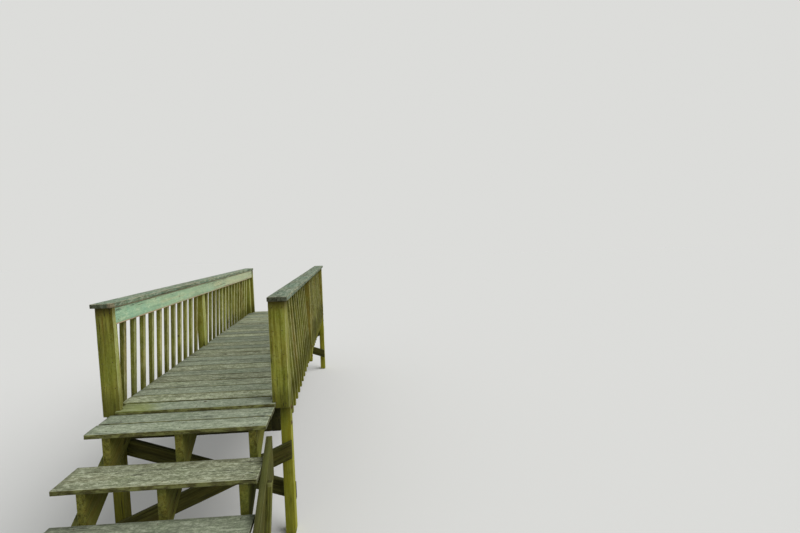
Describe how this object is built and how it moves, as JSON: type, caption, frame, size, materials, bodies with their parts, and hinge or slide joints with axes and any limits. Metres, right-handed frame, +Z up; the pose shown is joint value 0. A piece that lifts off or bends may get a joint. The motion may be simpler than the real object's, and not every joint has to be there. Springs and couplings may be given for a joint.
{
  "type": "footbridge",
  "caption": "Short timber footbridge with a plank deck, post-and-baluster railings with flat caps, cross-braced legs and an open-riser stair at one end.",
  "frame": {"origin": "on the ground under the middle of the plan", "axes": "+Y along the walkway away from the stair, +X to the right of a person walking up, +Z up"},
  "size_m": [1.566, 5.772, 2.085],
  "materials": {
    "post_wood": "weathered timber with an olive tint",
    "baluster_wood": "weathered timber with an olive tint",
    "rail_wood": "weathered timber with a pale green tint",
    "cap_wood": "weathered grey-green timber",
    "walk_wood": "weathered grey timber",
    "frame_wood": "dark weathered timber",
    "fastener_steel": "rusted steel nails and bolts, shown in the looks only"
  },
  "bodies": {
    "root": {"girder_left": "frame_wood", "girder_right": "frame_wood", "rim_left": "frame_wood", "rim_right": "frame_wood", "header_front": "frame_wood", "header_middle": "frame_wood", "header_far": "frame_wood", "joist_centre": "frame_wood", "post_front_left": "post_wood", "post_front_right": "post_wood", "post_mid_left": "post_wood", "post_mid_right": "post_wood", "post_far_left": "post_wood", "post_far_right": "post_wood", "trim_front_left": "post_wood", "trim_front_right": "post_wood", "trim_far_left": "post_wood", "trim_far_right": "post_wood", "rail_left": "rail_wood", "rail_right": "rail_wood", "cap_left": "cap_wood", "cap_right": "cap_wood", "balusters_left_1": "baluster_wood", "balusters_left_2": "baluster_wood", "balusters_right_1": "baluster_wood", "balusters_right_2": "baluster_wood", "deck_front": "walk_wood", "deck_middle": "walk_wood", "deck_far": "walk_wood", "tread_1": "walk_wood", "tread_2": "walk_wood", "tread_3": "walk_wood", "tread_4": "walk_wood", "tread_5": "walk_wood", "stringer_left": "frame_wood", "stringer_centre": "frame_wood", "stringer_right": "frame_wood", "sister_left": "frame_wood", "carriage_right": "frame_wood", "strut_right": "frame_wood", "brace_front_a": "frame_wood", "brace_front_b": "frame_wood", "brace_far_a": "frame_wood", "brace_far_b": "frame_wood"}
  },
  "joints": []
}
